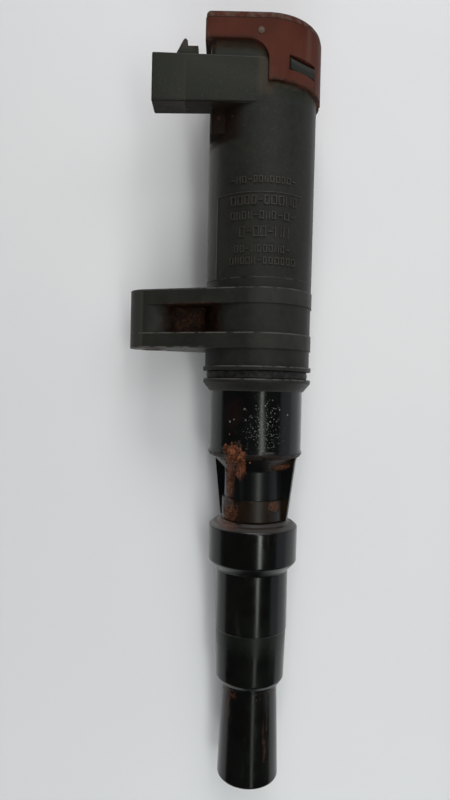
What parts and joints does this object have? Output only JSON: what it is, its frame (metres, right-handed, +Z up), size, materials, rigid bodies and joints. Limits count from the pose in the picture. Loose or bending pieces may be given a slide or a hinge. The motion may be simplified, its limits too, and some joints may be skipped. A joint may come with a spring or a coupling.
{
  "type": "ignition coil",
  "caption": "Pencil-style plug-top ignition coil: capped barrel with a side connector and bolt-down lug, and a lower tower with a boot that covers the spark plug.",
  "frame": {"origin": "on the coil's axis, in the plane that the lug's bush is bolted down on", "axes": "+Z up the axis from the spark plug to the cap; the lug and the connector's mouth point to -X"},
  "size_m": [0.0542, 0.0332, 0.2156],
  "materials": {
    "housing_plastic": "grained glass-filled black plastic",
    "cap_plastic": "fine-grained brown-red plastic",
    "bush_steel": "plated, dulled",
    "seal_rubber": "dull, worn",
    "tower_plastic": "glossy black",
    "boot_rubber": "smooth glossy black",
    "tinned_terminal": "tin plate",
    "inner_plastic": "moulded",
    "copper_wire": "enamelled copper",
    "core_steel": "silicon steel sheet",
    "pad_rubber": "soft",
    "magnet": "sintered",
    "epoxy": "cast epoxy",
    "spring_steel": "drawn wire",
    "ceramic_body": "resistor body"
  },
  "bodies": {
    "coil": {"housing": "housing_plastic", "cap": "cap_plastic", "mounting_bush": "bush_steel", "well_seal": "seal_rubber", "lower_tower": "tower_plastic", "terminal_supply": "tinned_terminal", "terminal_switched": "tinned_terminal", "terminal_carrier": "inner_plastic", "primary_lead_supply": "copper_wire", "primary_lead_switched": "copper_wire", "primary_bobbin": "inner_plastic", "primary_winding": "copper_wire", "secondary_bobbin": "inner_plastic", "secondary_winding": "copper_wire", "core_laminations": "core_steel", "core_sleeve": "pad_rubber", "core_magnet_upper": "magnet", "core_magnet_lower": "magnet", "core_end_pad": "pad_rubber", "inner_shield": "core_steel", "outer_shield": "core_steel", "potting_resin": "epoxy", "hv_cup": "tinned_terminal", "link_spring": "spring_steel", "suppressor_caps": "tinned_terminal", "suppressor_body": "ceramic_body", "hv_pin": "tinned_terminal"},
    "boot": {"boot": "boot_rubber"},
    "contact": {"contact_cup": "tinned_terminal", "contact_spring": "spring_steel"}
  },
  "joints": [
    {"name": "boot_pull", "type": "slide", "parent": "coil", "child": "boot", "axis": [0, 0, -1], "range_m": [0, 0.026]},
    {"name": "contact_press", "type": "slide", "parent": "coil", "child": "contact", "axis": [0, 0, 1], "range_m": [0, 0.004], "stiffness_N_per_m": 1000, "springref_m": -0.002, "deforming": ["contact_spring"]}
  ]
}
